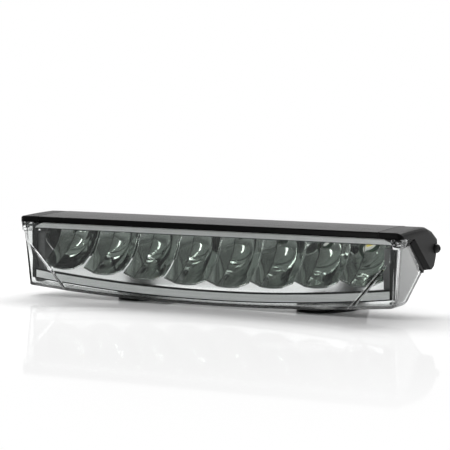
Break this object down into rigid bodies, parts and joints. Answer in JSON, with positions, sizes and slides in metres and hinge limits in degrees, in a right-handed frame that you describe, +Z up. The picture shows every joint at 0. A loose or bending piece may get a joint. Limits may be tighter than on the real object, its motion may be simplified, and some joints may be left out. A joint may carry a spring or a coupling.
{
  "type": "driving light",
  "caption": "Low black auxiliary driving light bar with a clear wrapped lens, smoked half-parabola reflectors, two light guides and two clamped mounting feet.",
  "frame": {"origin": "centre of the footprint box, on the ground under the rubber pads", "axes": "+X along the bar towards its right end as seen from the front, +Y from the lens to the back, +Z up"},
  "size_m": [0.4406, 0.1068, 0.085],
  "materials": {
    "black_anodised": "black anodised, fine brushed sheen along the bar",
    "black_powder_coat": "satin black powder coat on a casting",
    "black_rubber": "matt",
    "black_steel": "black plated",
    "bright_steel": "stainless",
    "clear_lens": "clear hard-coated polycarbonate",
    "black_plastic": "satin black",
    "grey_plastic": "smooth mid grey",
    "light_guide": "milky grey with fine lengthwise lines",
    "circuit_board": "solder mask",
    "led_package": "yellow phosphor",
    "smoked_mirror": "smoked metallised plastic, mirror bright",
    "thermal_film": "soft film",
    "dark_ferrite": "wound core",
    "can_metal": "bare can",
    "white_plastic": "moulded"
  },
  "bodies": {
    "root": {"housing": "black_anodised", "left_end_cap": "black_powder_coat", "right_end_cap": "black_powder_coat", "left_cap_seal": "black_rubber", "right_cap_seal": "black_rubber", "end_cap_screws": "black_steel", "outer_lens": "clear_lens", "lens_gasket": "black_rubber", "lens_screws": "bright_steel", "bezel": "black_plastic", "bezel_screws": "black_steel", "left_side_panel": "grey_plastic", "right_side_panel": "grey_plastic", "upper_light_guide": "light_guide", "lower_light_guide": "light_guide", "upper_guide_board": "circuit_board", "lower_guide_board": "circuit_board", "upper_guide_leds": "led_package", "lower_guide_leds": "led_package", "reflector_bank": "smoked_mirror", "thermal_pad": "thermal_film", "led_board": "circuit_board", "led_board_screws": "bright_steel", "driver_board": "circuit_board", "driver_inductors": "dark_ferrite", "driver_capacitors": "can_metal", "driver_connector": "white_plastic", "driver_board_screws": "bright_steel", "gland_body": "black_plastic", "gland_nut": "black_plastic", "gland_seal": "black_rubber", "breather_vent": "black_plastic", "left_foot": "black_powder_coat", "right_foot": "black_powder_coat", "left_foot_pad": "black_rubber", "right_foot_pad": "black_rubber", "channel_screws": "bright_steel", "channel_washers": "bright_steel", "channel_nuts": "bright_steel", "led_1": "led_package", "led_2": "led_package", "led_3": "led_package", "led_4": "led_package", "led_5": "led_package", "led_6": "led_package", "led_7": "led_package", "led_8": "led_package"}
  },
  "joints": []
}
